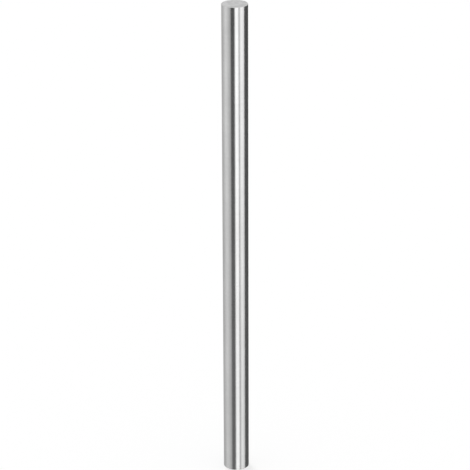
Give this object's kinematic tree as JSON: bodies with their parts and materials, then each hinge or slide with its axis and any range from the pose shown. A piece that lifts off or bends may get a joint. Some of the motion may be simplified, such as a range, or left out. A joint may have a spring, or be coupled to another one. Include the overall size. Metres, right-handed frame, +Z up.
{
  "type": "steel rod",
  "caption": "Plain solid round steel rod with flat square-cut ends and lightly broken edges, for use as a support, guide or spindle.",
  "frame": {"origin": "centre of the lower end face, where the rod stands", "axes": "+Z up the rod's axis towards the upper end face; X and Y lie across the rod, which is round, so any turn about Z is the same"},
  "size_m": [0.012, 0.012, 0.23],
  "materials": {
    "steel": "bright ground side with a soft sheen, matt faced ends"
  },
  "bodies": {
    "root": {"rod": "steel"}
  },
  "joints": []
}
